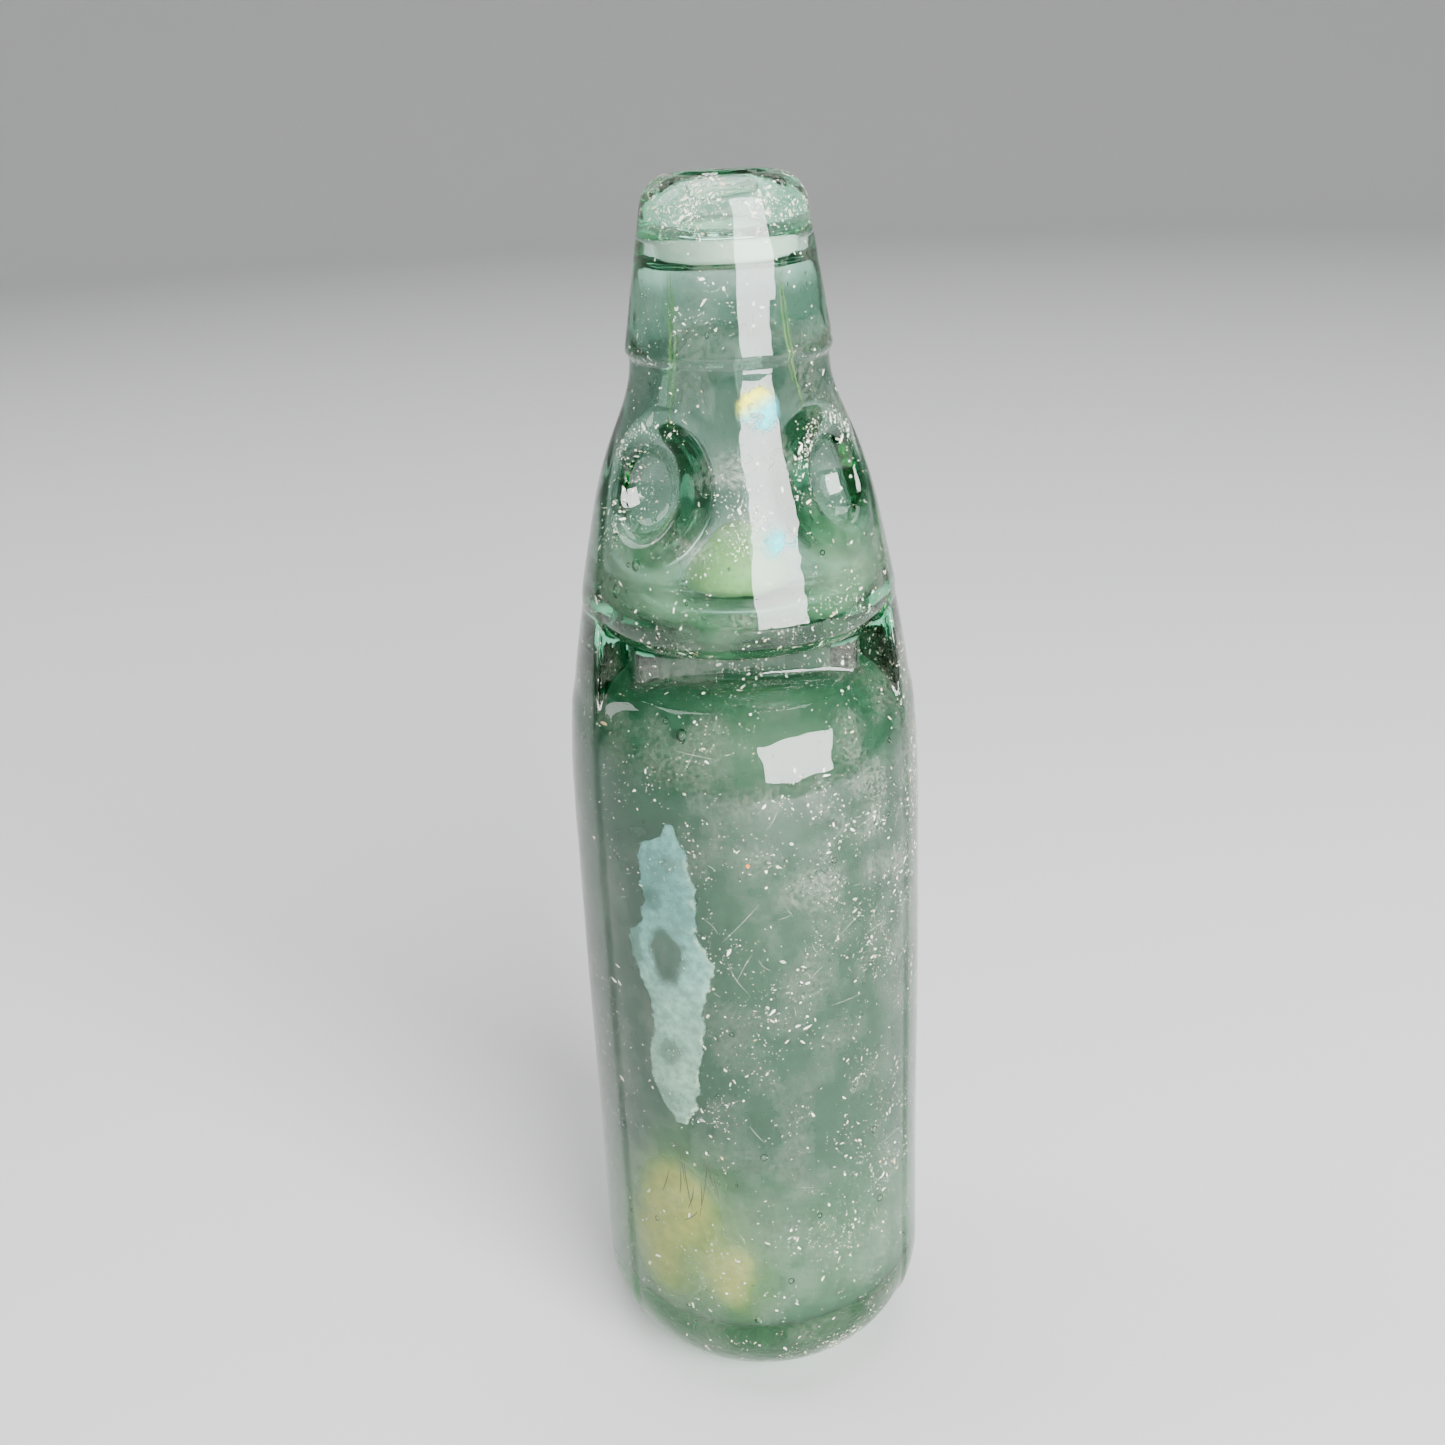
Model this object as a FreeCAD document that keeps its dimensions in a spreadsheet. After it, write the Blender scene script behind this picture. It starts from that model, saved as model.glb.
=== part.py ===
"""Marble-stoppered soda bottle with a pinched waist, as a parametric FreeCAD document.

The bottle stands on z = 0 with its axis on Z. Its front, where the two lugs are, faces -Y.
Every size is in millimetres, is kept in the sheet Dims and drives the objects by expression.
"""
import FreeCAD, Part
import math
import os

import Sketcher

DIMS = {
    # body, outside: foot, heel, straight wall
    "body_radius": 31.8, "heel_round": 18.8, "heel_end_radius": 25.58, "heel_end_rise": 4.83,
    "foot_round": 4.0, "foot_out_radius": 22.0, "foot_out_rise": 1.6,
    "foot_flat_out_radius": 18.9, "foot_flat_in_radius": 17.1,
    "kick_edge_radius": 15.3, "kick_edge_rise": 0.43, "kick_round": 60.0, "kick_flat_radius": 3.0,
    "kick_rise": 1.85,
    # shoulder and neck, outside
    "taper_rise": 113.2, "taper_round": 240.0, "shoulder_radius": 22.24, "shoulder_rise": 181.0,
    "bend_round": 50.0, "bend_radius": 19.2, "bend_rise": 189.0,
    "neck_round": 30.0, "neck_radius": 16.3, "neck_rise": 199.5,
    "spigot_radius": 13.6, "spigot_tip_radius": 13.1, "spigot_rise": 212.4,
    # waist, outside: a gap between the body's domed shoulder and the chamber's bowl
    "dome_start": 123.0, "dome_tall": 32.0, "dome_wide": 39.5, "dome_deep": 31.9, "dome_rise": 146.6,
    "gap_reach": 12.0, "gap_rim_radius": 42.0,
    "bowl_rise": 152.2, "bowl_flat_radius": 18.0, "bowl_round": 11.0, "bowl_rim_radius": 29.0,
    "bowl_rim_rise": 163.2,
    "throat_half_width": 19.8, "throat_half_depth": 13.6, "throat_round": 2.2,
    "web_root_reach": 20.6, "web_root_half": 4.0, "web_tip_reach": 28.4, "web_tip_half": 19.3,
    # lower cavity
    "floor_radius": 13.0, "floor_rise": 12.5, "floor_round": 14.0,
    "cavity_radius": 27.4, "cavity_heel_rise": 26.7, "cavity_taper_rise": 118.0, "cavity_taper_round": 300.0,
    "roof_radius": 26.6, "roof_rise": 132.0, "roof_round": 12.0, "roof_flat_radius": 15.6,
    "roof_flat_rise": 142.4,
    # slot through the waist
    "slot_half_length": 15.1, "slot_half_width": 7.4,
    # chamber and bore
    "seat_radius": 15.0, "seat_rise": 156.0, "seat_round": 9.4, "chamber_radius": 22.2,
    "chamber_rise": 165.6, "chamber_round": 200.0, "chamber_top_radius": 17.6, "chamber_top_rise": 182.4,
    "throat_out_round": 40.0, "mid_radius": 14.4, "mid_rise": 189.6, "bore_in_round": 22.0,
    "bore_radius": 10.6, "bore_rise": 198.6,
    # lugs that hold the marble back while pouring
    "lug_turn_left": 47.0, "lug_turn_right": 49.5, "lug_rise": 181.0, "lug_reach": 22.2,
    "lug_dent_tall": 7.8, "lug_dent_wide": 6.4, "lug_nose_tall": 12.4, "lug_nose_wide": 11.2,
    # lip collar
    "collar_foot_radius": 16.1, "collar_foot_round": 2.4, "collar_radius": 17.0, "collar_foot_rise": 201.7,
    "crown_radius": 13.25, "crown_rise": 224.3, "crown_round": 4.4, "top_radius": 9.0, "top_rise": 228.0,
    "mouth_radius": 7.4, "mouth_round": 1.6, "mouth_rise": 226.4,
    "groove_radius": 11.9, "groove_low": 214.4, "groove_high": 219.0,
    # sealing ring and marble
    "seal_inner_radius": 7.6, "seal_outer_radius": 11.85, "seal_low": 214.45, "seal_high": 218.95,
    "seal_round": 2.0, "marble_radius": 9.0, "marble_rise": 161.2,
}

doc = FreeCAD.newDocument("soda_bottle")
sheet = doc.addObject("Spreadsheet::Sheet", "Dims")
for row, (alias, value) in enumerate(DIMS.items(), start=1):
    sheet.set("A%d" % row, alias)
    sheet.set("B%d" % row, str(value))
    sheet.setAlias("B%d" % row, alias)
doc.recompute()


def value_of(terms):
    """Adds and subtracts a row of aliases and numbers, such as '0 - slot_half_width'."""
    total, sign = 0.0, 1.0
    for term in terms.split():
        if term in "+-":
            sign = 1.0 if term == "+" else -1.0
        else:
            total += sign * (DIMS[term] if term in DIMS else float(term))
            sign = 1.0
    return total


def in_sheet(terms):
    """The same row as an expression over the sheet's cells."""
    return " ".join("Dims." + term if term in DIMS else term for term in terms.split())


def origin_plane(body, role):
    """One of a body's own origin planes."""
    for feature in body.Origin.OriginFeatures:
        if feature.Role == role:
            return feature
    raise ValueError("no plane " + role)


def arc_centre(start, end, radius, left):
    """Centre of the short arc from start to end that bulges to the left or right of its chord."""
    chord = end - start
    middle = (start + end) * 0.5
    normal = FreeCAD.Vector(-chord.y, chord.x, 0).normalize()
    depth = math.sqrt(max(radius * radius - chord.Length * chord.Length / 4, 0.0))
    return middle + normal * (-depth if left else depth)


def outline(body, name, role, steps):
    """A closed, fully constrained sketch.

    Each step is (across, up) for a straight edge to that corner, or (across, up, round, side)
    for an arc to it that bulges to the 'left' or 'right' of the way there. The first step's
    edge comes from the last corner.
    """
    sketch = body.newObject("Sketcher::SketchObject", name)
    sketch.AttachmentSupport = [(origin_plane(body, role), "")]
    sketch.MapMode = "FlatFace"
    corners = [FreeCAD.Vector(value_of(step[0]), value_of(step[1]), 0) for step in steps]
    edges = []
    for index, step in enumerate(steps):
        start, end = corners[index - 1], corners[index]
        if len(step) == 2:
            edges.append((sketch.addGeometry(Part.LineSegment(start, end), False), 1, 2))
            continue
        left = step[3] == "left"
        centre = arc_centre(start, end, value_of(step[2]), left)
        first, last = (end, start) if left else (start, end)
        turns = [math.atan2(p.y - centre.y, p.x - centre.x) for p in (first, last)]
        circle = Part.Circle(centre, FreeCAD.Vector(0, 0, 1), value_of(step[2]))
        edge = sketch.addGeometry(Part.ArcOfCircle(circle, turns[0], turns[1]), False)
        edges.append((edge, 2, 1) if left else (edge, 1, 2))
    for index, (edge, head, tail) in enumerate(edges):
        after, after_head, after_tail = edges[(index + 1) % len(edges)]
        sketch.addConstraint(Sketcher.Constraint("Coincident", edge, tail, after, after_head))
    for index, step in enumerate(steps):
        edge, head, tail = edges[index]
        for kind, position, terms in (("DistanceX", corners[index].x, step[0]),
                                      ("DistanceY", corners[index].y, step[1])):
            number = sketch.addConstraint(Sketcher.Constraint(kind, -1, 1, edge, tail, position))
            sketch.setExpression("Constraints[%d]" % number, in_sheet(terms))
        if len(step) == 4:
            number = sketch.addConstraint(Sketcher.Constraint("Radius", edge, value_of(step[2])))
            sketch.setExpression("Constraints[%d]" % number, in_sheet(step[2]))
    return sketch


def turned(name, steps):
    """A body turned about the bottle's axis from an outline of (radius, height) corners."""
    body = doc.addObject("PartDesign::Body", name)
    sketch = outline(body, name + "Outline", "XZ_Plane", steps)
    turn = body.newObject("PartDesign::Revolution", name + "Turn")
    turn.Profile = sketch
    turn.ReferenceAxis = (sketch, ["V_Axis"])
    turn.Angle = 360
    return body


def prism(name, steps, low, high):
    """A body padded upwards from an outline of (x, y) corners, between two heights."""
    body = doc.addObject("PartDesign::Body", name)
    sketch = outline(body, name + "Outline", "XY_Plane", steps)
    sketch.setExpression(".AttachmentOffset.Base.z", in_sheet(low))
    pad = body.newObject("PartDesign::Pad", name + "Pad")
    pad.Profile = sketch
    pad.setExpression("Length", "%s - (%s)" % (in_sheet(high), in_sheet(low)))
    return body


def lug(name, side, tall, wide):
    """An ellipsoid centred on a lug, on the left (-1) or the right (+1) of the front."""
    shape = doc.addObject("Part::Ellipsoid", name)
    shape.Angle1 = -90
    shape.Angle2 = 90
    shape.Angle3 = 360
    shape.setExpression("Radius1", in_sheet(tall))
    shape.setExpression("Radius2", in_sheet(wide))
    shape.setExpression("Radius3", in_sheet(wide))
    turn = in_sheet("lug_turn_left" if side < 0 else "lug_turn_right")
    shape.setExpression(".Placement.Base.x", "%d * Dims.lug_reach * sin(%s)" % (side, turn))
    shape.setExpression(".Placement.Base.y", "-1 * Dims.lug_reach * cos(%s)" % turn)
    shape.setExpression(".Placement.Base.z", "Dims.lug_rise")
    return shape


def fused(name, pieces):
    union = doc.addObject("Part::MultiFuse", name)
    union.Shapes = pieces
    return union


def cut(name, base, tool):
    difference = doc.addObject("Part::Cut", name)
    difference.Base = base
    difference.Tool = tool
    return difference


# Outside of the blown bottle: foot ring, round heel, straight wall, long shoulder, neck and spigot.
shell = turned("Shell", [
    ("0", "kick_rise"),
    ("kick_flat_radius", "kick_rise"),
    ("kick_edge_radius", "kick_edge_rise", "kick_round", "left"),
    ("foot_flat_in_radius", "0", "foot_round", "right"),
    ("foot_flat_out_radius", "0"),
    ("foot_out_radius", "foot_out_rise", "foot_round", "right"),
    ("heel_end_radius", "heel_end_rise"),
    ("body_radius", "heel_round", "heel_round", "right"),
    ("body_radius", "taper_rise"),
    ("shoulder_radius", "shoulder_rise", "taper_round", "right"),
    ("bend_radius", "bend_rise", "bend_round", "right"),
    ("neck_radius", "neck_rise", "neck_round", "left"),
    ("spigot_radius", "neck_rise"),
    ("spigot_tip_radius", "spigot_rise"),
    ("0", "spigot_rise"),
])

# The waist is pinched in all round, except for the flat throat and a solid web on each side. Below
# the gap the body closes in a dome that is deeper at the front and back than at the webs.
gap = turned("Gap", [
    ("gap_reach", "dome_rise"),
    ("gap_rim_radius", "dome_rise"),
    ("gap_rim_radius", "bowl_rim_rise"),
    ("bowl_rim_radius", "bowl_rim_rise"),
    ("bowl_flat_radius", "bowl_rise", "bowl_round", "left"),
    ("gap_reach", "bowl_rise"),
])
shoulder_room = turned("ShoulderRoom", [
    ("gap_reach", "dome_start"),
    ("gap_rim_radius", "dome_start"),
    ("gap_rim_radius", "dome_rise"),
    ("gap_reach", "dome_rise"),
])
dome = doc.addObject("Part::Ellipsoid", "Dome")
dome.Angle1 = -90
dome.Angle2 = 90
dome.Angle3 = 360
dome.setExpression("Radius1", "Dims.dome_tall")
dome.setExpression("Radius2", "Dims.dome_wide")
dome.setExpression("Radius3", "Dims.dome_deep")
dome.setExpression(".Placement.Base.z", "Dims.dome_start")
waist = fused("Waist", [gap, cut("Shoulder", shoulder_room, dome)])
throat = prism("Throat", [
    ("throat_round - throat_half_width", "0 - throat_half_depth", "throat_round", "right"),
    ("throat_half_width - throat_round", "0 - throat_half_depth"),
    ("throat_half_width", "throat_round - throat_half_depth", "throat_round", "right"),
    ("throat_half_width", "throat_half_depth - throat_round"),
    ("throat_half_width - throat_round", "throat_half_depth", "throat_round", "right"),
    ("throat_round - throat_half_width", "throat_half_depth"),
    ("0 - throat_half_width", "throat_half_depth - throat_round", "throat_round", "right"),
    ("0 - throat_half_width", "throat_round - throat_half_depth"),
], "dome_start - 1", "bowl_rim_rise + 1")
web_right = prism("WebRight", [
    ("web_root_reach - 4", "0 - web_root_half"),
    ("web_root_reach", "0 - web_root_half"),
    ("web_tip_reach", "0 - web_tip_half"),
    ("web_tip_reach + 20", "0 - web_tip_half"),
    ("web_tip_reach + 20", "web_tip_half"),
    ("web_tip_reach", "web_tip_half"),
    ("web_root_reach", "web_root_half"),
    ("web_root_reach - 4", "web_root_half"),
], "dome_start - 1", "bowl_rim_rise + 1")
web_left = prism("WebLeft", [
    ("4 - web_root_reach", "web_root_half"),
    ("0 - web_root_reach", "web_root_half"),
    ("0 - web_tip_reach", "web_tip_half"),
    ("0 - web_tip_reach - 20", "web_tip_half"),
    ("0 - web_tip_reach - 20", "0 - web_tip_half"),
    ("0 - web_tip_reach", "0 - web_tip_half"),
    ("0 - web_root_reach", "0 - web_root_half"),
    ("4 - web_root_reach", "0 - web_root_half"),
], "dome_start - 1", "bowl_rim_rise + 1")
pinch = cut("Pinch", waist, fused("Bridge", [throat, web_right, web_left]))
dents = fused("Dents", [
    pinch,
    lug("DentLeft", -1, "lug_dent_tall", "lug_dent_wide"),
    lug("DentRight", 1, "lug_dent_tall", "lug_dent_wide"),
])
outside = cut("Outside", shell, dents)

# Hollows: the lower cavity, the slot through the waist, the marble's chamber and the neck's bore.
cavity = turned("Cavity", [
    ("0", "floor_rise"),
    ("floor_radius", "floor_rise"),
    ("cavity_radius", "cavity_heel_rise", "floor_round", "right"),
    ("cavity_radius", "cavity_taper_rise"),
    ("roof_radius", "roof_rise", "cavity_taper_round", "right"),
    ("roof_flat_radius", "roof_flat_rise", "roof_round", "right"),
    ("0", "roof_flat_rise"),
])
slot = prism("Slot", [
    ("slot_half_width - slot_half_length", "0 - slot_half_width", "slot_half_width", "right"),
    ("slot_half_length - slot_half_width", "0 - slot_half_width"),
    ("slot_half_length", "0", "slot_half_width", "right"),
    ("slot_half_length - slot_half_width", "slot_half_width", "slot_half_width", "right"),
    ("slot_half_width - slot_half_length", "slot_half_width"),
    ("0 - slot_half_length", "0", "slot_half_width", "right"),
], "roof_flat_rise - 2", "seat_rise + 1")
chamber = turned("Chamber", [
    ("0", "seat_rise"),
    ("seat_radius", "seat_rise"),
    ("chamber_radius", "chamber_rise", "seat_round", "right"),
    ("chamber_top_radius", "chamber_top_rise", "chamber_round", "right"),
    ("mid_radius", "mid_rise", "throat_out_round", "right"),
    ("bore_radius", "bore_rise", "bore_in_round", "left"),
    ("bore_radius", "spigot_rise + 1"),
    ("0", "spigot_rise + 1"),
])
noses = fused("Noses", [
    lug("NoseLeft", -1, "lug_nose_tall", "lug_nose_wide"),
    lug("NoseRight", 1, "lug_nose_tall", "lug_nose_wide"),
])
hollow = fused("Hollow", [cavity, slot, cut("ChamberRoom", chamber, noses)])
bottle_body = cut("BottleBody", outside, hollow)
bottle_body.Label = "bottle_body"

# The lip is a collar of glass wound onto the spigot, with a groove inside for the sealing ring.
lip_collar = turned("LipCollar", [
    ("spigot_radius", "neck_rise"),
    ("collar_foot_radius", "neck_rise"),
    ("collar_radius", "collar_foot_rise", "collar_foot_round", "right"),
    ("crown_radius", "crown_rise"),
    ("top_radius", "top_rise", "crown_round", "right"),
    ("mouth_radius", "mouth_rise", "mouth_round", "right"),
    ("mouth_radius", "groove_high"),
    ("groove_radius", "groove_high"),
    ("groove_radius", "groove_low"),
    ("bore_radius", "groove_low"),
    ("bore_radius", "spigot_rise"),
    ("spigot_tip_radius", "spigot_rise"),
])
lip_collar.Label = "lip_collar"

# The rubber ring that the marble is pressed against.
sealing_ring = turned("SealingRing", [
    ("seal_inner_radius + seal_round", "seal_low", "seal_round", "right"),
    ("seal_outer_radius", "seal_low"),
    ("seal_outer_radius", "seal_high"),
    ("seal_inner_radius + seal_round", "seal_high"),
    ("seal_inner_radius", "seal_high - seal_round", "seal_round", "right"),
    ("seal_inner_radius", "seal_low + seal_round"),
])
sealing_ring.Label = "sealing_ring"

# The loose glass marble, resting across the slot on the floor of its chamber.
marble = doc.addObject("Part::Sphere", "Marble")
marble.setExpression("Radius", "Dims.marble_radius")
marble.setExpression(".Placement.Base.z", "Dims.marble_rise")
marble.Label = "marble"

doc.recompute()

for item in doc.Objects:
    if "Invalid" in item.State or "Error" in item.State:
        raise RuntimeError("%s failed: %s" % (item.Name, item.State))

os.makedirs("parts", exist_ok=True)
for node in (bottle_body, lip_collar, sealing_ring, marble):
    if node.Shape.isNull() or not node.Shape.isValid() or len(node.Shape.Solids) != 1:
        raise RuntimeError("%s has no sound single solid" % node.Label)
    node.Shape.exportStep("parts/%s.step" % node.Label)
    box = node.Shape.BoundBox
    print("%-13s %8.1f mm3  z %.2f to %.2f" % (node.Label, node.Shape.Volume, box.ZMin, box.ZMax))
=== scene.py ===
"""The looks of an old aqua-green marble-stoppered soda bottle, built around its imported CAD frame.

Shapes are worked out in millimetres in the row frame (Z up along the bottle, -Y its front) and are
turned into metres when a mesh is made.
"""

import math

import bmesh
import bpy
import numpy as np
from mathutils import Matrix, Vector


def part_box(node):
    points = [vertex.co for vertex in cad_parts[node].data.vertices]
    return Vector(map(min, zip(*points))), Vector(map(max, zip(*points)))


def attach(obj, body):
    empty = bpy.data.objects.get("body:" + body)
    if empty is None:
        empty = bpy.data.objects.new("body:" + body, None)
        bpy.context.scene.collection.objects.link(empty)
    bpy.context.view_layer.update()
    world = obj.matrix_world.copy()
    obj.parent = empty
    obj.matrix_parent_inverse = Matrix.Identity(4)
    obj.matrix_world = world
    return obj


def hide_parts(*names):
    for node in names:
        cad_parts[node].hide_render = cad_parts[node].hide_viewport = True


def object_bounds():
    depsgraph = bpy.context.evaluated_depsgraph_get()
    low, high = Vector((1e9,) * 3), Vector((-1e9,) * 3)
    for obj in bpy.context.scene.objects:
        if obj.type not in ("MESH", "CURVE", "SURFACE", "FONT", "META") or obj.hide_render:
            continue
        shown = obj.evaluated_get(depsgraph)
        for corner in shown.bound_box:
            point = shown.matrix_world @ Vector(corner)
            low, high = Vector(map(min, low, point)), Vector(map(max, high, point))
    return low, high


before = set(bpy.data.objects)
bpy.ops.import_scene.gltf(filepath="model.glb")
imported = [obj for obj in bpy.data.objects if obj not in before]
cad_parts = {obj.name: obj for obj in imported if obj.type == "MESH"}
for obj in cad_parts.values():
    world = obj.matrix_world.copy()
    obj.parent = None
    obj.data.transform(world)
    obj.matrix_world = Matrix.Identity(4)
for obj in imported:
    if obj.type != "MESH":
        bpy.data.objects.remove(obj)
cad_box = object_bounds()
CAD_LOW, CAD_HIGH = np.array(cad_box[0]), np.array(cad_box[1])

MM = 0.001
RANDOM = np.random.default_rng(7)

# ---------------------------------------------------------------- sizes, in millimetres
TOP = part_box("lip_collar")[1].z / MM - 0.1
HEEL_RADIUS, HEEL_ROUND = 31.7, 18.8
HEEL_IN, HEEL_UP = 0.331, 0.257
FLANK_ACROSS, FLANK_ALONG = 0.669, 0.743
FOOT_RADIUS, KICK_RISE = 18.0, 1.85
DOME_START, DOME_RISE, DOME_AXES = 123, 146.6, (39.5, 31.75, 32.0)
BOWL_RISE, BOWL_FLAT_RADIUS, BOWL_ROUND = 152.2, 18.0, 11.0
THROAT_HALF_WIDTH, THROAT_HALF_DEPTH = 19.8, 13.6
WEB_REACH, WEB_HALF_WIDTH, WEB_SPREAD = 20.6, 4.0, 0.51
SLOT_HALF_LENGTH, SLOT_HALF_WIDTH, SLOT_RISE, SLOT_HALF_HEIGHT = 15.1, 7.4, 149, 9
COLLAR_RADIUS, COLLAR_FOOT, COLLAR_WIDEST, COLLAR_TAPER, CROWN_ROUND = 16.9, 199.9, 201.7, 0.165, 4.4
FLOOR_RADIUS, FLOOR_ROUND, FLOOR_TOP = 13.25, 14, 26.5
ROOF_RADIUS, ROOF_ROUND, ROOF_START = 15.0, 12.0, 130.4
SEAT_RADIUS, SEAT_ROUND, SEAT_TOP = 12.8, 9.4, 165.4
GROOVE_RISE, GROOVE_HALF_HEIGHT = 216.7, 2.35
LUG_TURN_LEFT, LUG_TURN_RIGHT = math.radians(47), math.radians(49.5)
LUG_REACH, LUG_RISE = 22.2, 181.0
DENT_WIDE, DENT_TALL = 6.4, 7.8
NOSE_WIDE, NOSE_TALL = 11.2, 12.4
BORE_RADIUS, MOUTH_RADIUS = 10.6, 7.4
MARBLE_LOW, MARBLE_HIGH = (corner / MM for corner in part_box("marble"))
MARBLE_RADIUS = (MARBLE_HIGH.z - MARBLE_LOW.z) / 2
MARBLE_RISE = (MARBLE_HIGH.z + MARBLE_LOW.z) / 2
RING_LOW, RING_HIGH = (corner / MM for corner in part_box("sealing_ring"))
RING_RADIUS, RING_INNER = RING_HIGH.x, 7.6
RING_RIM, RING_LIP = 1.3, 2
# the grid steps, and the low and high corners of the boxes that surfaces are looked for in
CELL, FILM_CELL = 0.8, 1.3
GLASS_GRID = (-33.2, -33.2, -1.2), (33.2, 33.2, 229.2)
BLOOM_GRID = (-33, -33, -1), (33, 33, 229)
HAZE_GRID = (-31, -31, 7), (31, 31, 216)
FOOT_GRID = (-32, -32, -1), (32, 32, 14)
FLAKE_CORNERS = 7
SEED_COUNT, SPECK_COUNT, SCRATCH_COUNT = 300, 18000, 60
CHAMBER_FLOOR = 153
# the larger gas bubbles, as bearing in degrees, height and radius
BUBBLES = [
    (-26.5, 143.0, 1.0), (-3.0, 59.2, 0.75), (-46.5, 169.0, 0.85), (-60.0, 172.5, 0.7), (-56.0, 164.0, 0.8),
    (20.0, 207.5, 0.75), (-7.0, 21.0, 0.8), (31.0, 70.5, 0.6), (40.0, 58.0, 0.7), (43.0, 41.0, 0.8),
    (-22.0, 112.0, 0.5), (12.0, 98.0, 0.55), (24.0, 118.0, 0.6), (-12.0, 86.0, 0.5), (5.0, 30.0, 0.6),
    (52.0, 92.0, 0.6), (-52.0, 60.0, 0.5), (16.0, 44.0, 0.5), (-33.0, 22.0, 0.6), (60.0, 130.0, 0.6),
    (130.0, 60.0, 0.8), (155.0, 100.0, 0.7), (-150.0, 80.0, 0.8), (-120.0, 120.0, 0.7), (180.0, 35.0, 0.9)]
# soft oval spots, as strength, bearing and its spread in degrees, height and its spread
WORN = [
    (1.6, 5, 62, 209, 4),       # the lip
    (4.0, 4, 17, 175, 9),       # the front of the neck
    (1.5, 5, 62, 161, 6),       # over the waist
    (3.0, 5, 62, 148.6, 1.6),   # under the waist
    (1.3, 34, 34, 108, 30),     # the upper right of the body
    (1.7, 38, 26, 45, 26),      # the lower right of the body
    (7.0, 25, 22, 8, 5),        # the base
    (3.0, -19, 4, 98, 32),      # beside the milky patch
    (2.5, -60, 9, 172, 12),     # the left of the neck
    (3.0, 72, 10, 125, 16)]     # the right of the shoulder
# spots where the body's inner film turns milky: paler on the right, the front and the shoulder, painted light
# on the side the lamp falls on
MILKY_AND_LIT_SPOTS = [(0.03, 52, 34, 80, 60), (0.04, 4, 22, 112, 34), (0.12, 4, 40, 139, 5)]
RAGGED_STAINS = [(1.0, -38, 16, 47, 11), (0.85, -50, 18, 30, 14), (0.8, -14, 10, 28, 10)]
# the milky patch: the bearings of its left and right edges at each height
PATCH_EDGES = [
    (65, -33, -30), (66.5, -34, -28), (69, -38, -25), (73, -42, -24), (80, -41, -23), (84, -40, -22),
    (91, -40, -20), (98, -46, -17), (101, -48, -18), (104, -47, -20), (107, -41, -21), (111, -40, -22),
    (117, -41, -22), (120, -42, -23), (122, -40, -24.5), (124, -33, -27), (127, -31, -29)]
# its thin places: bearing, height, spread across, spread up, and how much crust is left
PATCH_GAPS = [
    (-33, 100.5, 6.5, 6.5, 0.06), (-46, 101, 4, 5, 0.5), (-36.5, 111.5, 4.5, 2.6, 0.5),
    (-34, 80.5, 5, 3.2, 0.5), (-30, 119, 3, 2, 0.6)]
# lines on the inside of the wall, from one bearing and height to another, and how far each bows
# the neck streaks are painted refraction: lime-green lines standing in for the bright edges of the bore seen
# through the glass
NECK_STREAKS = [
    (-50, 214, -46, 188, 1.5), (-52, 213, -49, 194, -1), (42, 213, 46, 190, 1.5), (40, 211, 43, 197, -1)]
RESIDUE_CRACKS = [
    (-36, 59, -33.5, 50, 0.6), (-33, 58, -31, 44, -0.8), (-35, 54, -36, 47, 0.5), (-30, 50, -33, 44, 0.7),
    (-24, 57, -27, 46, 0.5), (-24, 58, -21.5, 49, -0.4), (-27, 52, -28, 43, 0.6), (-22, 53, -20, 47, 0.3),
    (-29, 44, -35, 41, 0.8), (-40, 52, -44, 46, 0.4)]


# ---------------------------------------------------------------- implicit glass
def smooth_curve(points):
    """A clamped cubic spline through (height, radius) points, as a fast function of height."""
    at, value = np.array(points, float).T
    gap, count = np.diff(at), len(at)
    system, right = np.eye(count), np.zeros(count)
    for i in range(1, count - 1):
        system[i, i - 1:i + 2] = 1 / gap[i - 1], 2 / gap[i - 1] + 2 / gap[i], 1 / gap[i]
        right[i] = 3 * ((value[i] - value[i - 1]) / gap[i - 1] ** 2 + (value[i + 1] - value[i]) / gap[i] ** 2)
    slope = np.linalg.solve(system, right)
    fine = np.linspace(at[0], at[-1], 4000)
    i = np.clip(np.searchsorted(at, fine) - 1, 0, count - 2)
    t, h = (fine - at[i]) / gap[i], gap[i]
    curve = ((1 + 2 * t) * (1 - t) ** 2 * value[i] + t * (1 - t) ** 2 * h * slope[i]
             + t * t * (3 - 2 * t) * value[i + 1] + t * t * (t - 1) * h * slope[i + 1])
    return lambda height: np.interp(height, fine, curve)


OUTER_RADIUS = smooth_curve([
    (-10, 31.68), (20, 31.7), (50, 31.55), (80, 31.7), (110, 31.6), (125, 31.45), (140, 30.45), (155, 28.15),
    (170, 25.1), (180, 22.6), (187, 20.0), (192, 17.9), (197, 16.55), (201, 16.0), (206, 13.5), (240, 12.5)])
CAVITY_RADIUS = smooth_curve([(0, 27.25), (26, 27.25), (80, 27.5), (118, 27.3), (132, 26.6), (150, 26.0)])
CHAMBER_RADIUS = smooth_curve([
    (150, 23.0), (160, 22.6), (165.4, 22.2), (170, 21.1), (176, 19.5), (182, 17.7), (187, 15.7), (191, 14.0),
    (196, 12.3), (201, 11.3), (206, 10.8), (211, BORE_RADIUS), (240, BORE_RADIUS)])


def both(a, b, round_):
    """Where two solids overlap, with the edge between them rounded."""
    corner = np.hypot(np.maximum(a + round_, 0), np.maximum(b + round_, 0))
    return np.minimum(-round_, np.maximum(a, b)) + corner


def either(a, b, round_):
    """Two solids joined, with the corner between them filled to a radius."""
    return -both(-a, -b, round_)


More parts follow.
